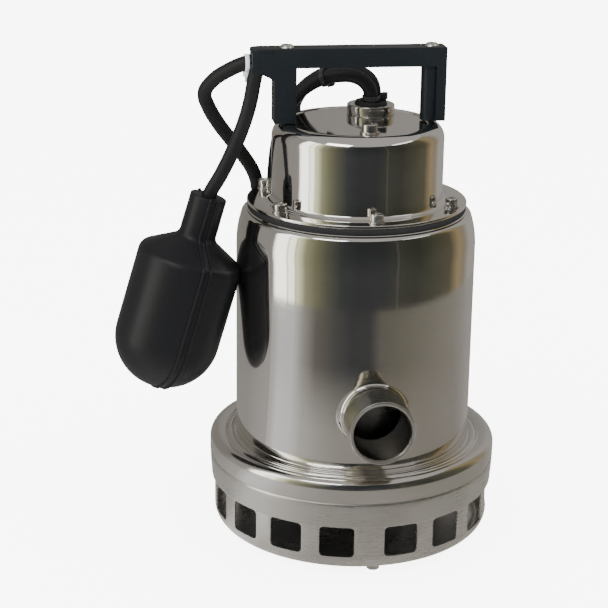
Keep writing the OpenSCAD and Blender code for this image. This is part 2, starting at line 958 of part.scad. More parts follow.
module float_ball() {
  color(bright)
    hang() translate([0, 0, -96]) sphere(r = 8.6, $fn = 64);
}

module micro_switch() {
  color(black)
    hang() translate([0, 0, -52]) {
      translate([-10, -6, 0]) cube([20, 12, 12]);
      translate([5, -1, -0.7]) cube([2, 2, 0.8]);
      for (y = [-5.5, 4])
        translate([0, y, 0]) difference() {
          translate([-11.4, 0, -3]) cube([4, 1.5, 3.1]);
          translate([-9.4, -1, -1.35]) rotate([-90, 0, 0])
            cylinder(r = 0.95, h = 4, $fn = 32);
        }
    }
}

module switch_lever() {
  color(bright)
    hang() translate([-9.4, 0, -53.35]) rotate([0, lever_angle, 0]) {
      translate([0.4, -3, -0.25]) cube([16.6, 6, 0.5]);
      rotate([90, 0, 0]) cylinder(r = 0.9, h = 11, center = true, $fn = 48);
    }
}

module float_ballast() {
  color(iron)
    hang() translate([0, 0, -122]) cylinder(r = 21, h = 14.9);
}

strainer();
strainer_feet();
strainer_studs();
clamp_band();
base_ring();
suction_plate();
wear_ring();
diffuser();
seal_plate();
jacket();
jacket_flange();
discharge_nipple();
nipple_collar();
motor_can();
oil_chamber();
seal_seat();
lip_seal();
bearings();
lower_bracket();
upper_bracket();
stator_core();
stator_windings();
shaft();
rotor_core();
rotor_rings();
impeller();
impeller_key();
impeller_nut();
seal_rotary();
capacitor();
capacitor_clip();
terminal_block();
cover_plate();
cap_gasket();
motor_cap();
cap_washers();
cap_screws();
vent_screw();
gland_nut();
gland_bush();
handle();
handle_posts();
handle_screws();
cable_ties();
lug_tie();
float_cable();
power_cord();
cord_coil();
coil_tie();
cord_lead();
plug_body();
plug_pins();
float_shell();
neck_grommet();
float_cable_drop();
ball_cage();
float_ball();
micro_switch();
switch_lever();
float_ballast();
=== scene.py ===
import math

import bpy
from mathutils import Matrix, Vector


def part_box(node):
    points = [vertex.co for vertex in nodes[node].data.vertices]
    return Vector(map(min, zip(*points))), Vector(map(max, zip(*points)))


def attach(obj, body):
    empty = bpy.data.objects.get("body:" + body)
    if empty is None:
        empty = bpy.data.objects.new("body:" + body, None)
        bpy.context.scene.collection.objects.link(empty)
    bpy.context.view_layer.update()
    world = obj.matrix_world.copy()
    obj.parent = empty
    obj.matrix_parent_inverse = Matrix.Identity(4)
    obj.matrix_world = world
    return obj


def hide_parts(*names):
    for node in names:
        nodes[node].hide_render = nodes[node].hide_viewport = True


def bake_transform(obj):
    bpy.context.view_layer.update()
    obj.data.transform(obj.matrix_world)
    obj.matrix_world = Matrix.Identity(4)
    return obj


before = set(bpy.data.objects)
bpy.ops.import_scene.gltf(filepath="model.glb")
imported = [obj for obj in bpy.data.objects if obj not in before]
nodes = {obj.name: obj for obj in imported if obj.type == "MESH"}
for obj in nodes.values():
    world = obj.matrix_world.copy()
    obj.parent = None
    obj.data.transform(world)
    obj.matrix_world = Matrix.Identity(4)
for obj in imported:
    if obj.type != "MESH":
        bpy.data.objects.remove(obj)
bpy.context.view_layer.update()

# %% [markdown]
# ## The size and the place of things
#
# Every CAD node is already in the scene, in metres, with +Z up and the floor
# at z = 0. The pump's driving lengths are read back from the nodes' own boxes,
# in millimetres, so that the new pieces sit exactly where the design has them.

# %% Lengths read from the frame
mm = 0.001
jacket_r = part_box("jacket")[1][0] / mm
ring_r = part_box("base_ring")[1][0] / mm
flange_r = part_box("motor_cap")[1][0] / mm
cap_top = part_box("motor_cap")[1][2] / mm
nipple_low, nipple_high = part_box("discharge_nipple")
thread_r = nipple_high[0] / mm
mouth = -nipple_low[1] / mm
outlet_z = (nipple_low[2] + nipple_high[2]) / 2
cable_r = 4.7
print("jacket radius", round(jacket_r, 2), "cap top", round(cap_top, 2))

# %% [markdown]
# ## The camera
#
# The pump is seen from a little to its left and from above, through a long
# lens, so its sides stay nearly parallel. A camera looks along its own -Z, so
# it is turned up by 90 degrees less its dip, then swung to its heading. The
# small roll comes last, about the line of sight.

# %% Camera
dip = math.radians(18.07)
heading = math.radians(-8.64)
roll = math.radians(0.72)
camera_data = bpy.data.cameras.new("camera")
camera_data.lens = 101.52
camera_data.sensor_width = 36
camera = bpy.data.objects.new("camera", camera_data)
bpy.context.scene.collection.objects.link(camera)
camera.matrix_world = (
    Matrix.Translation((-0.1963, -1.0694, 0.5093))
    @ Matrix.Rotation(heading, 4, "Z")
    @ Matrix.Rotation(math.pi / 2 - dip, 4, "X")
    @ Matrix.Rotation(roll, 4, "Z")
)
bpy.context.scene.camera = camera

# %% [markdown]
# ## Helpers for the pieces
#
# Most of this pump is turned or pressed sheet, so two tools make most of it.
# `turned` draws half of the section as a line of extruded points and spins it
# round the axis. `softened` copies a plain node, merges its loose triangles
# and gives its edges the small radius that a real edge has. Each piece ends
# with its object at the origin, in its finish, on the body that carries it.

# %% Helper: a clean start
def start():
    if bpy.context.object and bpy.context.object.mode != "OBJECT":
        bpy.ops.object.mode_set(mode="OBJECT")
    bpy.ops.object.select_all(action="DESELECT")


def only(obj):
    start()
    obj.select_set(True)
    bpy.context.view_layer.objects.active = obj


# %% Helper: finish a piece
def finished(obj, name, paint, body, smooth=35):
    only(obj)
    obj.name = name
    obj.data.name = name
    bpy.ops.object.transform_apply(location=True, rotation=True, scale=True)
    if smooth:
        bpy.ops.object.shade_smooth_by_angle(angle=math.radians(smooth))
    obj.data.materials.clear()
    obj.data.materials.append(paint)
    if body:
        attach(obj, body)
    return obj


# %% Helper: a line of points, extruded one from the last
def drawn_line(points):
    start()
    bpy.ops.mesh.primitive_plane_add(size=mm, location=(0, 0, 0))
    bpy.ops.object.mode_set(mode="EDIT")
    bpy.ops.mesh.select_all(action="SELECT")
    bpy.ops.mesh.merge(type="CENTER")
    here = Vector(points[0])
    bpy.ops.transform.translate(value=here)
    for point in points[1:]:
        step = Vector(point) - here
        bpy.ops.mesh.extrude_vertices_move(TRANSFORM_OT_translate={"value": step})
        here = Vector(point)
    bpy.ops.mesh.select_all(action="SELECT")
    return bpy.context.object


# %% Helper: a turned piece from (radius, height) points in millimetres
def turned(points, steps=192):
    obj = drawn_line([(r * mm, 0, z * mm) for r, z in points])
    bpy.ops.mesh.spin(
        steps=steps, angle=2 * math.pi, center=(0, 0, 0), axis=(0, 0, 1)
    )
    bpy.ops.mesh.select_all(action="SELECT")
    bpy.ops.mesh.remove_doubles(threshold=0.002 * mm)
    bpy.ops.mesh.normals_make_consistent(inside=False)
    bpy.ops.object.mode_set(mode="OBJECT")
    return obj


def arc(x, z, r, a0, a1, n=8):
    angles = [math.radians(a0 + (a1 - a0) * i / n) for i in range(n + 1)]
    return [(x + r * math.cos(a), z + r * math.sin(a)) for a in angles]


# %% Helper: a node's copy with its edges rounded
def softened(node, width, segments=2, angle=30):
    start()
    obj = nodes[node].copy()
    obj.data = nodes[node].data.copy()
    obj.parent = None
    bpy.context.scene.collection.objects.link(obj)
    obj.matrix_world = Matrix.Identity(4)
    only(obj)
    bpy.ops.object.mode_set(mode="EDIT")
    bpy.ops.mesh.select_all(action="SELECT")
    bpy.ops.mesh.remove_doubles(threshold=0.01 * mm)
    bpy.ops.mesh.dissolve_limited(angle_limit=math.radians(0.5))
    bpy.ops.mesh.select_all(action="DESELECT")
    bpy.ops.object.mode_set(mode="OBJECT")
    edge = obj.modifiers.new("edge", "BEVEL")
    edge.width = width * mm
    edge.segments = segments
    edge.limit_method = "ANGLE"
    edge.angle_limit = math.radians(angle)
    edge.harden_normals = False
    bpy.ops.object.modifier_apply(modifier="edge")
    return obj


# %% [markdown]
# ## The finishes
#
# A finish here is a small tree of nodes. Noise on Object coordinates, in
# metres, varies the roughness and lifts a very faint bump, so a surface is
# never one flat value. Sheet steel carries polishing lines that run round it,
# which a stretched noise gives.

# %% Helper: a finish
def finish(name, color, metal, rough, spread, scale, stretch=(1, 1, 1), bump=0.0,
           mottle=0.06, detail=4.0):
    mat = bpy.data.materials.new(name)
    mat.use_nodes = True
    tree = mat.node_tree
    shader = tree.nodes["Principled BSDF"]
    shader.inputs["Metallic"].default_value = metal
    shader.inputs["Specular IOR Level"].default_value = 0.5 if metal else 0.2
    place = tree.nodes.new("ShaderNodeTexCoord")
    mapping = tree.nodes.new("ShaderNodeMapping")
    mapping.inputs["Scale"].default_value = stretch
    tree.links.new(place.outputs["Object"], mapping.inputs["Vector"])
    grain = tree.nodes.new("ShaderNodeTexNoise")
    grain.inputs["Scale"].default_value = scale
    grain.inputs["Detail"].default_value = detail
    tree.links.new(mapping.outputs["Vector"], grain.inputs["Vector"])
    cloud = tree.nodes.new("ShaderNodeTexNoise")
    cloud.inputs["Scale"].default_value = 22
    cloud.inputs["Detail"].default_value = 3
    tree.links.new(place.outputs["Object"], cloud.inputs["Vector"])
    both = tree.nodes.new("ShaderNodeMath")
    both.operation = "MULTIPLY_ADD"
    both.inputs[1].default_value = 0.55
    tree.links.new(grain.outputs["Fac"], both.inputs[0])
    scaled = tree.nodes.new("ShaderNodeMath")
    scaled.operation = "MULTIPLY"
    scaled.inputs[1].default_value = 0.45
    tree.links.new(cloud.outputs["Fac"], scaled.inputs[0])
    tree.links.new(scaled.outputs[0], both.inputs[2])
    rough_range = tree.nodes.new("ShaderNodeMapRange")
    rough_range.inputs["From Min"].default_value = 0.3
    rough_range.inputs["From Max"].default_value = 0.7
    rough_range.inputs["To Min"].default_value = max(rough - spread, 0.01)
    rough_range.inputs["To Max"].default_value = rough + spread
    tree.links.new(both.outputs[0], rough_range.inputs["Value"])
    tree.links.new(rough_range.outputs[0], shader.inputs["Roughness"])
    ramp = tree.nodes.new("ShaderNodeValToRGB")
    ramp.color_ramp.elements[0].position = 0.3
    ramp.color_ramp.elements[1].position = 0.7
    ramp.color_ramp.elements[0].color = [c * (1 - mottle) for c in color] + [1]
    ramp.color_ramp.elements[1].color = [min(c * (1 + mottle), 1) for c in color] + [1]
    tree.links.new(both.outputs[0], ramp.inputs["Fac"])
    tree.links.new(ramp.outputs["Color"], shader.inputs["Base Color"])
    if bump:
        lift = tree.nodes.new("ShaderNodeBump")
        lift.inputs["Strength"].default_value = bump
        lift.inputs["Distance"].default_value = 0.1 * mm
        tree.links.new(grain.outputs["Fac"], lift.inputs["Height"])
        tree.links.new(lift.outputs["Normal"], shader.inputs["Normal"])
    return mat


# %% The finishes of this pump
around_z = (1, 1, 40)
ring_steel = finish("ring_steel", (0.77, 0.755, 0.73), 1, 0.12, 0.05, 60,
                    around_z, 0.04, 0.03)
mirror_steel = finish("mirror_steel", (0.79, 0.775, 0.75), 1, 0.06, 0.035, 60,
                      around_z, 0.02, 0.02)
satin_steel = finish("satin_steel", (0.60, 0.585, 0.56), 1, 0.30, 0.08, 45,
                     (1, 1, 60), 0.12, 0.05)
turned_steel = finish("turned_steel", (0.66, 0.645, 0.62), 1, 0.2, 0.07, 300,
                      (1, 1, 8), 0.1, 0.05)
handle_coat = finish("handle_coat", (0.006, 0.0085, 0.011), 0, 0.38, 0.07, 900,
                     bump=0.12, mottle=0.15, detail=2)
cable_rubber = finish("cable_rubber", (0.007, 0.0072, 0.0078), 0, 0.5, 0.08, 500,
                      bump=0.15, mottle=0.2)
gasket_rubber = finish("gasket_rubber", (0.012, 0.012, 0.013), 0, 0.6, 0.08, 700,
                       bump=0.2, mottle=0.2)
float_plastic = finish("float_plastic", (0.0055, 0.0057, 0.007), 0, 0.36, 0.06, 1100,
                       bump=0.14, mottle=0.15, detail=2)
tie_nylon = finish("tie_nylon", (0.018, 0.018, 0.019), 0, 0.35, 0.05, 400,
                   bump=0.05, mottle=0.1)
clear_nylon = finish("clear_nylon", (0.62, 0.67, 0.69), 0, 0.32, 0.06, 400,
                     bump=0.05, mottle=0.08)
thread_steel = finish("thread_steel", (0.56, 0.53, 0.47), 1, 0.2, 0.06, 300,
                      (1, 8, 1), 0.08, 0.06)
thread_shadow = finish("thread_shadow", (0.14, 0.13, 0.11), 1, 0.45, 0.08, 300,
                       bump=0.1, mottle=0.15)
strainer_steel = finish("strainer_steel", (0.70, 0.68, 0.65), 1, 0.27, 0.07, 45,
                        (1, 1, 60), 0.12, 0.05)
cast_iron = finish("cast_iron", (0.11, 0.115, 0.12), 0.7, 0.55, 0.12, 500,
                   bump=0.5, mottle=0.25)
laminations = finish("laminations", (0.22, 0.22, 0.23), 0.9, 0.4, 0.08, 30,
                     (1, 1, 70), 0.5, 0.2)
copper_wire = finish("copper_wire", (0.50, 0.20, 0.08), 0.9, 0.35, 0.08, 500,
                     (1, 1, 1), 0.5, 0.25)
cast_aluminium = finish("cast_aluminium", (0.62, 0.62, 0.63), 1, 0.45, 0.1, 400,
                        bump=0.3, mottle=0.1)
ivory_plastic = finish("ivory_plastic", (0.66, 0.60, 0.46), 0, 0.45, 0.08, 600,
                       bump=0.1, mottle=0.08)
ceramic = finish("ceramic", (0.75, 0.72, 0.66), 0, 0.2, 0.05, 500, bump=0.05,
                 mottle=0.05)
pin_brass = finish("pin_brass", (0.72, 0.55, 0.25), 1, 0.22, 0.06, 300,
                   (8, 1, 1), 0.1, 0.08)

# %% [markdown]
# ## The mains lead
#
# One rubber cable of 9.5 mm leaves the gland beside the float's cable, bends
# over, drops behind the jacket to the floor and goes into a flat coil of
# twelve turns. Its free end leaves the top of the coil for the plug. It is one
# curve from end to end, so its length is real. In each turn's last sixth the
# cable crosses to the next turn, or climbs to the next layer.

# %% The mains lead's line
pitch_of_turns = 9.5
coil_x, coil_y = 30, 176
rows = [66.5, 66.5 - pitch_of_turns, 66.5 - 2 * pitch_of_turns]
turns, steps_a_turn = 12, 24
down_route = [
    (12, 21.5, 283), (12, 21.5, 292), (9, 22, 299), (2, 24, 303.5), (-8, 27, 304),
    (-18, 31, 301.5), (-27, 36, 296), (-34, 42, 288.5), (-39, 49, 278),
    (-42, 57, 265), (-44, 64.5, 250), (-45, 70, 234), (-45.5, 72.5, 216),
    (-45, 73, 195), (-45, 73, 172), (-45, 74, 149), (-46, 78, 124), (-47, 84, 100),
    (-47, 92, 76), (-46, 100, 54), (-44, 109, 33), (-41, 122, 16), (-38, 138, 7),
    (-36.5, 157, 4.75),
]
lead_route = [
    (-46.5, 190, 22), (-47, 204, 15.5), (-46, 218, 9.5), (-43, 232, 6),
    (-37, 245, 5), (-29, 256, 6), (-19, 265, 9), (-8, 272, 14), (3, 276.5, 18.5),
    (12, 277, 19.5), (21, 277, 19.5),
]


def coil_point(turn):
    ring = int(turn)
    part = turn - ring
    layer, place = divmod(ring, 3)
    radii = rows if layer % 2 == 0 else rows[::-1]
    radius, height = radii[place], pitch_of_turns * (layer + 0.5)
    across = max(0, (part - 5 / 6) * 6)
    ease = across * across * (3 - 2 * across)
    if place < 2:
        radius += (radii[place + 1] - radius) * ease
    elif layer < 3:
        height += pitch_of_turns * ease
        bulge = 3.5 * math.sin(math.pi * across)
        radius += bulge if radius > rows[1] else -bulge
    else:
        radius += 9 * ease
        height -= 5.25 * ease
    angle = math.pi - 2 * math.pi * turn
    return (
        coil_x + radius * math.cos(angle),
        coil_y + radius * math.sin(angle),
        height,
    )


coil_route = [coil_point(i / steps_a_turn) for i in range(turns * steps_a_turn)]
mains_route = down_route + coil_route + [(-45.5, 176, 28)] + lead_route


# %% Helper: a cable along a route in millimetres
def cable(name, route, radius, paint, body, sides=4):
    data = bpy.data.curves.new(name, "CURVE")
    data.dimensions = "3D"
    data.resolution_u = 5
    data.bevel_depth = radius * mm
    data.bevel_resolution = sides
    data.use_fill_caps = True
    line = data.splines.new("BEZIER")
    line.bezier_points.add(len(route) - 1)
    for point, place in zip(line.bezier_points, route):
        point.co = Vector(place) * mm
        point.handle_left_type = "AUTO"
        point.handle_right_type = "AUTO"
    obj = bpy.data.objects.new(name, data)
    bpy.context.scene.collection.objects.link(obj)
    data.materials.append(paint)
    if body:
        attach(obj, body)
    return obj


def length_of(curve):
    return sum(spline.calc_length() for spline in curve.data.splines)


# %% The mains lead
mains_lead = cable("mains_lead", mains_route, cable_r, cable_rubber, "pump")
bpy.context.view_layer.update()
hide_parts("power_cord", "cord_coil", "cord_lead")

# %% [markdown]
# ## The float's cable
#
# It comes out of the same gland, loops low behind the flange and comes up to
# the handle's lug, where a clear tie holds it. From the lug it hangs down to
# the float. On the real pump that last part swings with the float; here it is
# a separate tube that belongs to no body.

# %% The float's cable behind the handle
loop_route = [
    (15.5, 30.4, 283), (15.5, 30.4, 294), (13, 31.5, 300), (6, 33.5, 304.5),
    (-4, 37, 305.5), (-14, 41.5, 303), (-23, 47, 297), (-30, 54, 288), (-33, 62, 276),
    (-27.5, 73, 262), (-18.5, 83, 246), (-9, 91, 229), (-3, 96.5, 211), (-5, 100, 195),
    (-15, 101, 185), (-28, 99, 181), (-40, 94, 185), (-49, 87.5, 196), (-54.5, 79, 211),
    (-59, 67.5, 229), (-69, 54, 246.5), (-79, 43.5, 260.5), (-87, 36, 272),
    (-94, 29.5, 284.5), (-97, 22.5, 295), (-93, 17, 303), (-84, 10, 311),
    (-70.5, 3, 318), (-64, 1, 319.5),
]
float_loop = cable("float_loop", loop_route, cable_r, cable_rubber, "pump")
bpy.context.view_layer.update()
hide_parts("float_cable")
print("float cable loop", round(length_of(float_loop), 3), "m")

# %% The float's cable from the lug to the float
drop_route = [
    (-65.5, -3, 316), (-67, -3, 311), (-68, -3, 306.4), (-70.5, -3, 293),
    (-75, -3, 278), (-82, -3, 261), (-89.5, -3, 246), (-97, -3, 233),
    (-102.6, -3, 213.8),
]
float_drop = cable("float_drop", drop_route, cable_r, cable_rubber, None)
bpy.context.view_layer.update()
only(float_drop)
bpy.ops.object.convert(target="MESH")
float_drop = bpy.context.object
float_drop = finished(float_drop, "float_drop", cable_rubber, None, smooth=60)
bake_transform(float_drop)
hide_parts("float_cable_drop")

# %% [markdown]
# ## The jacket, the ring and the cap
#
# These three are polished stainless sheet, and polish shows every facet, so
# each is turned afresh with many steps and real roundings instead of keeping
# the design's plain mesh. The jacket's round shoulder is one large arc that
# ends in a small one under the flange.

# %% Jacket
foot, wall_top, shoulder = 64.4, 199.5, 61
lip_r, inside_r = jacket_r - 3.5, jacket_r - 1.2
jacket = turned(
    [(lip_r, foot), (jacket_r, foot), (jacket_r, 120), (jacket_r, wall_top)]
    + arc(jacket_r - shoulder, wall_top, shoulder, 2, 17.6, 10)
    + arc(71.3, 217.4, 4.4, 22, 88, 8)
    + [(70.8, 222.4), (66, 222.4), (66, 221.2), (71, 220.4), (74.4, 216.5),
       (inside_r, wall_top), (inside_r, 66), (lip_r, 66), (lip_r, foot)],
    256,
)
start()
bpy.ops.mesh.primitive_cylinder_add(
    vertices=96, radius=19.6 * mm, depth=60 * mm,
    location=(0, -0.075, outlet_z), rotation=(math.pi / 2, 0, 0),
)
drill = bpy.context.object
only(jacket)
hole = jacket.modifiers.new("hole", "BOOLEAN")
hole.operation = "DIFFERENCE"
hole.solver = "EXACT"
hole.object = drill
bpy.ops.object.modifier_apply(modifier="hole")
jacket = finished(jacket, "jacket_shell", mirror_steel, "pump", smooth=30)
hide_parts("jacket")
bpy.data.objects.remove(drill)
print("jacket faces", len(jacket.data.polygons))

# %% Base ring
base_ring = turned(
    [(79, 53.2), (ring_r - 0.4, 53.2), (ring_r, 53.8), (ring_r, 60)]
    + arc(ring_r - 6, 62, 6, 0, 84, 10)
    + arc(87.0, 68.4, 2.6, 215, 250, 3)[::-1]
    + arc(82.6, 64.3, 2.6, 50, 150, 8)
    + arc(79.3, 66.5, 1.2, 290, 230, 3)
    + [(78.52, 64.6), (78.52, 60), (94, 60), (94, 54.4), (79, 54.4), (79, 53.2)],
    256,
)
base_ring = finished(base_ring, "base_rim", ring_steel, "pump", smooth=40)
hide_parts("base_ring")

# %% Clamp band
clamp_band = turned(
    [(93.3, 35.9), (94.2, 35.9), (95.0, 36.5), (95.2, 37.6), (95.25, 39),
     (95.9, 47.5), (96.0, 51.4), (95.7, 52.5), (95.0, 53.1), (93.3, 53.1),
     (93.3, 35.9)],
    256,
)
clamp_band = finished(clamp_band, "clamp_skirt", satin_steel, "pump", smooth=40)
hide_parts("clamp_band")

# %% Motor cap
cap_r, edge_r, rim_r = 55.9, 9.5, 0.7
motor_cap = turned(
    [(54.3, 226.4), (flange_r - 0.6, 226.4)]
    + arc(flange_r - rim_r, 227.1, rim_r, -80, 0, 4)
    + arc(flange_r - rim_r, 227.9, rim_r, 0, 85, 4)
    + [(60.5, 228.6)]
    + arc(cap_r + 3.5, 232.1, 3.5, 268, 182, 8)
    + [(cap_r, 250), (cap_r, cap_top - edge_r)]
    + arc(cap_r - edge_r, cap_top - edge_r, edge_r, 4, 88, 14)
    + [(45.5, cap_top)]
    + arc(45.4, cap_top - 0.3, 0.3, 90, 180, 3)
    + [(44.6, 278.75), (30, 278.7), (12, 278.7), (0, 278.7)]
    + [(0, 277.5), (30, 277.5), (46, 277.5), (54.3, 270), (54.3, 226.4)],
    256,
)
motor_cap = finished(motor_cap, "cap_shell", mirror_steel, "pump", smooth=30)
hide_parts("motor_cap")

# %% Flange gasket
gasket = turned(
    [(58, 222.6), (70.9, 222.6), (71.3, 223.2), (71.3, 225.6), (70.9, 226.3),
     (58, 226.3), (58, 222.6)],
    192,
)
gasket = finished(gasket, "flange_gasket", gasket_rubber, "pump", smooth=40)
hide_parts("cap_gasket")

# %% [markdown]
# ## The discharge nipple
#
# A short thick tube with a pipe thread outside, welded into the jacket. The
# thread is a real helix: one tooth's outline, wound up by a Screw modifier. The
# body is turned to the thread's root, with a bright ring left at its mouth, and
# a darker sleeve stands in the bottom of the thread, where light hardly gets.

# %% Helper: lay an upright turned piece along -Y
def laid_along_outlet(obj):
    only(obj)
    obj.rotation_euler = (math.pi / 2, 0, 0)
    obj.location = (0, 0, outlet_z)
    bpy.ops.object.transform_apply(location=True, rotation=True, scale=True)
    return obj


# %% Nipple body
bore, core, shank = 18, 19.0, thread_r - 0.2
thread_foot, nipple_root, pitch = 84.6, 74, 2.309
nipple = turned(
    [(bore, nipple_root), (bore, mouth - 1.1), (bore + 0.6, mouth - 0.1),
     (20.0, mouth), (20.6, mouth - 0.4), (20.8, mouth - 0.9), (20.3, mouth - 1.2),
     (core, mouth - 1.5), (core, 85.2), (shank, thread_foot), (shank, nipple_root),
     (bore, nipple_root)],
    128,
)
nipple = laid_along_outlet(nipple)
nipple = finished(nipple, "nipple_body", turned_steel, "pump", smooth=30)
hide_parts("discharge_nipple")

# %% Painted shade: a dark sleeve in the bottom of the thread
sleeve_r, sleeve_foot, sleeve_top = core + 0.25, thread_foot + 0.3, mouth - 1.5
root = turned(
    [(core, sleeve_foot), (sleeve_r, sleeve_foot), (sleeve_r, sleeve_top),
     (core, sleeve_top), (core, sleeve_foot)]
)
root = laid_along_outlet(root)
root = finished(root, "nipple_thread_painted_shade", thread_shadow, "pump", smooth=30)

# %% Thread
tooth = [(19.2, 0.35), (shank, 0.95), (thread_r, 1.1), (thread_r, 1.35),
         (shank, 1.5), (19.2, 2.1)]
thread = drawn_line([(r * mm, 0, (thread_foot + z) * mm) for r, z in tooth])
bpy.ops.object.mode_set(mode="OBJECT")
wind = thread.modifiers.new("wind", "SCREW")
wind.axis = "Z"
wind.screw_offset = pitch * mm
wind.iterations = 9
wind.steps = 96
wind.render_steps = 96
wind.use_merge_vertices = True
bpy.ops.object.modifier_apply(modifier="wind")
thread = laid_along_outlet(thread)
bpy.ops.object.mode_set(mode="EDIT")
bpy.ops.mesh.select_all(action="SELECT")
bpy.ops.mesh.remove_doubles(threshold=0.002 * mm)
bpy.ops.mesh.normals_make_consistent(inside=False)
bpy.ops.object.mode_set(mode="OBJECT")
thread = finished(thread, "nipple_thread", thread_steel, "pump", smooth=40)

# %% Collar round the nipple's foot
collar = turned(
    [(20.8, 74), (20.8, 79.5), (21.2, 79.3), (21.8, 78.4), (22.6, 77.0),
     (23.5, 75.4), (24.1, 74.2), (24.1, 70), (20.8, 70)],
    128,
)
collar = laid_along_outlet(collar)
collar = finished(collar, "nipple_collar_bead", mirror_steel, "pump", smooth=50)
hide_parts("nipple_collar")

# %% [markdown]
# ## The strainer basket
#
# A drawn steel cup with a row of punched windows. The node's own shape is right,
# so its copy only has its loose triangles merged and the punched edges rolled
# over a little, which catches the light.

# %% Basket
basket = softened("strainer", 0.25, 2, 40)
basket = finished(basket, "strainer_basket", strainer_steel, "pump", smooth=32)
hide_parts("strainer")
print("basket faces", len(basket.data.polygons))

# %% [markdown]
# ## The handle
#
# A folded black sheet channel on two round posts. Folded sheet has round
# corners, so the copy of the node gets a bevel at every edge.

# %% Handle and posts
handle = softened("handle", 0.6, 3, 40)
handle = finished(handle, "handle_channel", handle_coat, "pump", smooth=35)
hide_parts("handle")
posts = softened("handle_posts", 0.3, 2, 40)
posts = finished(posts, "handle_post_pair", handle_coat, "pump", smooth=35)
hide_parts("handle_posts")
handle_heads = softened("handle_screws", 0.25, 2, 40)
handle_heads = finished(handle_heads, "handle_screw_pair", turned_steel, "pump")
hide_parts("handle_screws")

# %% [markdown]
# ## The small steel parts
#
# Cap screws, washers, the gland's ring and the vent screw keep their own
# shapes with softened edges, so each edge carries a thin highlight.

# %% Screws, washers and gland
for node, name, width in (
    ("cap_screws", "cap_screw_set", 0.3),
    ("cap_washers", "cap_washer_set", 0.15),
    ("gland_nut", "gland_ring", 0.45),
    ("vent_screw", "vent_screw_head", 0.3),
):
    piece = finished(softened(node, width, 2, 40), name, turned_steel, "pump")
    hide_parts(node)

gland_rubber = softened("gland_bush", 0.4, 2, 40)
gland_rubber = finished(gland_rubber, "gland_rubber", gasket_rubber, "pump")
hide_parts("gland_bush")

# %% Ties
ties = softened("cable_ties", 0.3, 2, 40)
ties = finished(ties, "cable_tie_pair", tie_nylon, "pump")
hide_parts("cable_ties")
lug_tie = softened("lug_tie", 0.3, 2, 40)
lug_tie = finished(lug_tie, "lug_tie_clear", clear_nylon, "pump")
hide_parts("lug_tie")
coil_tie = softened("coil_tie", 0.5, 2, 40)
coil_tie = finished(coil_tie, "coil_tie_strap", tie_nylon, "pump")
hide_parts("coil_tie")

# %% [markdown]
# ## The float
#
# Two moulded halves welded along a seam that runs right round them, with a
# neck that grips the cable. The body is turned from one smooth outline. The
# shoulders slope at 34 degrees and round over into straight sides. The
# seam is a pair of thin beads that follow the outline in one plane, swept as
# round tubes half sunk in the wall.

# %% Float body
lean = math.radians(16.4)
neck_at = Vector((-97, -3, 233)) * mm


def hung(obj):
    only(obj)
    obj.rotation_euler = (0, lean, 0)
    obj.location = neck_at
    bpy.ops.object.transform_apply(location=True, rotation=True, scale=True)
    return obj


float_outline = (
    [(5.2, 0), (11.2, 0)]
    + arc(11.2, -0.8, 0.8, 80, 0, 3)
    + [(12, -8), (12.1, -18)]
    + arc(18.1, -24.8, 6, 180, 236, 5)
    + arc(27.5, -45.4, 7, 56, 2, 8)
    + [(34.5, -56), (34.5, -70), (34.5, -84), (34.5, -95)]
    + arc(0, -98, 34.5, -2, -88, 26)
    + [(0, -132.5)]
)
float_body = turned(
    float_outline
    + [(0, -129.5), (31.5, -98), (31.5, -58), (9, -32), (5.2, -20), (5.2, 0)],
    128,
)
float_body = hung(float_body)
float_body = finished(float_body, "float_body", float_plastic, "float", smooth=40)
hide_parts("float_shell")

# %% Float seam
seam_turn = math.radians(13.6)
seam_points = [(r, z) for r, z in float_outline if r > 11]
whole_seam = seam_points + [(0.01, -132.5)] + [(-r, z) for r, z in seam_points[::-1]]
seam = []
for offset in (-2.6, 2.6):
    route = [(offset, r, z) for r, z in whole_seam]
    bead = cable("seam_bead", route, 1.15, float_plastic, None, 2)
    bead.data.splines[0].resolution_u = 2
    only(bead)
    bpy.ops.object.convert(target="MESH")
    bead = bpy.context.object
    bead.parent = None
    bead.rotation_euler = (0, 0, seam_turn)
    bpy.ops.object.transform_apply(location=True, rotation=True, scale=True)
    seam.append(hung(bead))
start()
for bead in seam:
    bead.select_set(True)
bpy.context.view_layer.objects.active = seam[0]
bpy.ops.object.join()
float_seam = bpy.context.object
finished(float_seam, "float_seam", float_plastic, "float", smooth=60)

# %% Plug
plug = finished(softened("plug_body", 0.7, 3, 30), "plug_moulding", tie_nylon, "pump")
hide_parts("plug_body")
pins = finished(softened("plug_pins", 0.2, 2, 40), "plug_pin_pair", pin_brass, "pump")
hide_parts("plug_pins")

# %% [markdown]

# %% [markdown]
# ## Finishes of the inner parts
#
# What the casing hides still gets its real finish.

# %% Inner parts
inner = {
    satin_steel: ["strainer_feet", "seal_plate", "jacket_flange",
                  "motor_can", "capacitor_clip", "impeller"],
    turned_steel: ["shaft", "bearings", "impeller_nut", "float_ball",
                   "switch_lever", "impeller_key", "seal_rotary"],
    cast_iron: ["suction_plate", "strainer_studs", "oil_chamber", "lower_bracket",
                "upper_bracket", "cover_plate", "float_ballast"],
    laminations: ["stator_core", "rotor_core"],
    copper_wire: ["stator_windings"],
    cast_aluminium: ["rotor_rings"],
    ivory_plastic: ["capacitor", "terminal_block", "ball_cage"],
    ceramic: ["seal_seat"],
    gasket_rubber: ["wear_ring", "lip_seal", "neck_grommet"],
    tie_nylon: ["diffuser", "micro_switch"],
}
for paint, names in inner.items():
    for name in names:
        mesh = nodes[name].data
        mesh.materials.clear()
        mesh.materials.append(paint)
print("finished", sum(len(names) for names in inner.values()), "inner nodes")

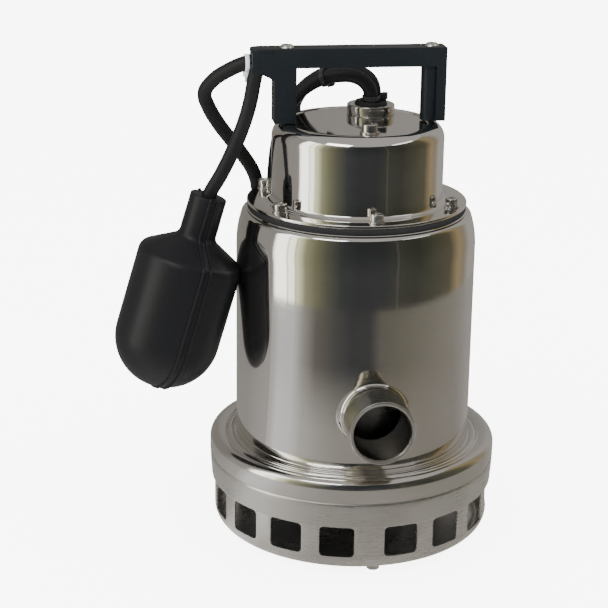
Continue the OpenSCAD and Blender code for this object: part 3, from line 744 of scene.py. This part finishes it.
# %% [markdown]
# ## The studio
#
# Polished steel has no look of its own: it shows its surroundings. So the pump
# stands inside a round screen, one that only reflections see, and over a round
# table top of the same kind. Both are painted by compass direction: a bright
# window on the left, dark shelves in front, a warm door on the right. The table
# top changes with distance too, darker where the shelves' shadow falls. What the
# camera itself sees is a plain pale floor under a wide soft light.

# %% Helper: glowing paint that changes with the direction from the pump
def compass_ramp(tree, source, stops):
    ramp = tree.nodes.new("ShaderNodeValToRGB")
    tree.links.new(source, ramp.inputs["Fac"])
    marks = ramp.color_ramp.elements
    marks.remove(marks[1])
    for i, (azimuth, tone) in enumerate(stops):
        spot = ((azimuth - 90) / 360 + 0.5) % 1
        mark = marks[0] if i == 0 else marks.new(spot)
        mark.position = spot
        mark.color = tuple(tone) + (1,)
    return ramp


def compass_paint(name, far_stops, near_stops, near=0.3, far=0.45):
    mat = bpy.data.materials.new(name)
    mat.use_nodes = True
    tree = mat.node_tree
    shader = tree.nodes["Principled BSDF"]
    shader.inputs["Base Color"].default_value = (0, 0, 0, 1)
    shader.inputs["Specular IOR Level"].default_value = 0
    shader.inputs["Emission Strength"].default_value = 1
    place = tree.nodes.new("ShaderNodeTexCoord")
    compass = tree.nodes.new("ShaderNodeTexGradient")
    compass.gradient_type = "RADIAL"
    tree.links.new(place.outputs["Object"], compass.inputs["Vector"])
    distance = tree.nodes.new("ShaderNodeVectorMath")
    distance.operation = "LENGTH"
    tree.links.new(place.outputs["Object"], distance.inputs[0])
    outward = tree.nodes.new("ShaderNodeMapRange")
    outward.inputs["From Min"].default_value = near
    outward.inputs["From Max"].default_value = far
    tree.links.new(distance.outputs["Value"], outward.inputs["Value"])
    mix = tree.nodes.new("ShaderNodeMix")
    mix.data_type = "RGBA"
    tree.links.new(outward.outputs[0], mix.inputs["Factor"])
    near_ramp = compass_ramp(tree, compass.outputs["Fac"], near_stops)
    far_ramp = compass_ramp(tree, compass.outputs["Fac"], far_stops)
    tree.links.new(near_ramp.outputs["Color"], mix.inputs[6])
    tree.links.new(far_ramp.outputs["Color"], mix.inputs[7])
    tree.links.new(mix.outputs[2], shader.inputs["Emission Color"])
    return mat


def screen_only(obj):
    obj.visible_camera = False
    obj.visible_diffuse = False
    obj.visible_shadow = False


# %% Round screen
room = 0.63
dark = (0.032, 0.034, 0.035)
wall_stops = [
    (-175, (0.26, 0.245, 0.225)), (-122, (0.24, 0.225, 0.20)),
    (-108, (0.33, 0.31, 0.285)), (-90, (0.42, 0.395, 0.37)),
    (-86, (3.4, 3.4, 3.1)), (-74, (3.4, 3.4, 3.2)), (-73, (0.9, 0.9, 0.6)),
    (-72, (2.6, 2.6, 2.2)), (-66, (2.4, 2.4, 1.9)), (-65, (0.6, 0.6, 0.4)),
    (-64, (1.3, 1.3, 0.85)),
    (-55, (0.36, 0.35, 0.22)), (-45, (0.20, 0.20, 0.12)),
    (-35, (0.11, 0.11, 0.08)), (-22, (0.045, 0.05, 0.05)), (-8, dark),
    (15, dark), (27, (0.045, 0.047, 0.04)),
    (28, (0.10, 0.10, 0.07)), (29, (0.05, 0.05, 0.04)), (48, (0.04, 0.04, 0.03)),
    (70, (0.07, 0.07, 0.045)), (86, (0.10, 0.09, 0.055)),
    (99, (0.34, 0.26, 0.14)), (110, (0.28, 0.24, 0.17)),
    (122, (0.42, 0.40, 0.37)), (150, (0.38, 0.36, 0.34)),
]
start()
bpy.ops.mesh.primitive_cylinder_add(
    vertices=128, radius=room, depth=0.8, end_fill_type="NOTHING",
    location=(0, 0, 0.401),
)
screen = bpy.context.object
screen.name = "round_screen"
screen.data.materials.append(compass_paint("screen_paint", wall_stops, wall_stops))
screen_only(screen)

# %% Round table top
far_table = [
    (-175, (0.28, 0.265, 0.25)), (-122, (0.30, 0.285, 0.265)),
    (-95, (0.40, 0.38, 0.36)), (-87, (0.55, 0.53, 0.50)),
    (-80, (0.75, 0.74, 0.73)), (-66, (0.72, 0.71, 0.70)),
    (-56, (0.36, 0.34, 0.31)), (-44, (0.15, 0.14, 0.12)),
    (-28, (0.085, 0.082, 0.075)), (-12, (0.045, 0.047, 0.048)),
    (4, (0.05, 0.05, 0.05)), (14, (0.13, 0.12, 0.10)),
    (40, (0.17, 0.158, 0.125)), (66, (0.21, 0.195, 0.16)),
    (95, (0.26, 0.24, 0.21)), (125, (0.36, 0.34, 0.315)),
    (160, (0.34, 0.32, 0.30)),
]
near_table = [
    (-175, (0.30, 0.285, 0.27)), (-122, (0.33, 0.31, 0.285)),
    (-95, (0.44, 0.42, 0.40)), (-87, (0.60, 0.58, 0.55)),
    (-80, (0.85, 0.84, 0.83)), (-66, (0.80, 0.79, 0.78)),
    (-54, (0.55, 0.52, 0.48)), (-40, (0.42, 0.395, 0.37)),
    (-25, (0.34, 0.32, 0.29)), (0, (0.30, 0.28, 0.25)),
    (30, (0.26, 0.24, 0.205)), (60, (0.25, 0.232, 0.20)),
    (95, (0.27, 0.25, 0.22)), (125, (0.38, 0.36, 0.33)),
    (160, (0.36, 0.34, 0.31)),
]
start()
bpy.ops.mesh.primitive_circle_add(
    vertices=128, radius=room, fill_type="NGON", location=(0, 0, 0.001)
)
table_top = bpy.context.object
table_top.name = "round_table"
table_top.data.materials.append(compass_paint("table_paint", far_table, near_table))
screen_only(table_top)

# %% Floor
start()
bpy.ops.mesh.primitive_plane_add(size=8, location=(0, 0, 0))
floor = bpy.context.object
floor.name = "floor"
floor_paint = finish("floor_paint", (0.93, 0.93, 0.925), 0, 0.6, 0.05, 20, bump=0.02,
                     mottle=0.005)
glow = floor_paint.node_tree.nodes["Principled BSDF"]
glow.inputs["Emission Color"].default_value = (1, 1, 0.99, 1)
glow.inputs["Emission Strength"].default_value = 6
floor.visible_diffuse = False
floor.data.materials.append(floor_paint)

# %% World and lights
world = bpy.data.worlds.new("studio")
bpy.context.scene.world = world
world.use_nodes = True
sky = world.node_tree.nodes["Background"]
sky.inputs["Color"].default_value = (1, 1, 1, 1)
sky.inputs["Strength"].default_value = 2.4
dim = world.node_tree.nodes.new("ShaderNodeBackground")
dim.inputs["Color"].default_value = (0.62, 0.6, 0.57, 1)
dim.inputs["Strength"].default_value = 0.75
path = world.node_tree.nodes.new("ShaderNodeLightPath")
choice = world.node_tree.nodes.new("ShaderNodeMixShader")
world.node_tree.links.new(path.outputs["Is Glossy Ray"], choice.inputs["Fac"])
world.node_tree.links.new(sky.outputs[0], choice.inputs[1])
world.node_tree.links.new(dim.outputs[0], choice.inputs[2])
backdrop = world.node_tree.nodes.new("ShaderNodeBackground")
backdrop.inputs["Color"].default_value = (1, 1, 0.99, 1)
backdrop.inputs["Strength"].default_value = 8
seen = world.node_tree.nodes.new("ShaderNodeMixShader")
world.node_tree.links.new(path.outputs["Is Camera Ray"], seen.inputs["Fac"])
world.node_tree.links.new(choice.outputs[0], seen.inputs[1])
world.node_tree.links.new(backdrop.outputs[0], seen.inputs[2])
world.node_tree.links.new(
    seen.outputs[0], world.node_tree.nodes["World Output"].inputs["Surface"]
)


def softbox(name, at, size, power, color=(1, 1, 1)):
    data = bpy.data.lights.new(name, "AREA")
    data.shape = "RECTANGLE"
    data.size, data.size_y = size
    data.energy = power
    data.color = color
    lamp = bpy.data.objects.new(name, data)
    bpy.context.scene.collection.objects.link(lamp)
    lamp.location = at
    aim = Vector((0, 0, 0.15)) - Vector(at)
    lamp.rotation_euler = aim.to_track_quat("-Z", "Y").to_euler()
    return lamp


softbox("key", (-0.9, -1.0, 1.5), (0.9, 0.9), 14)
softbox("fill", (1.4, -0.6, 1.2), (1.0, 1.0), 6)
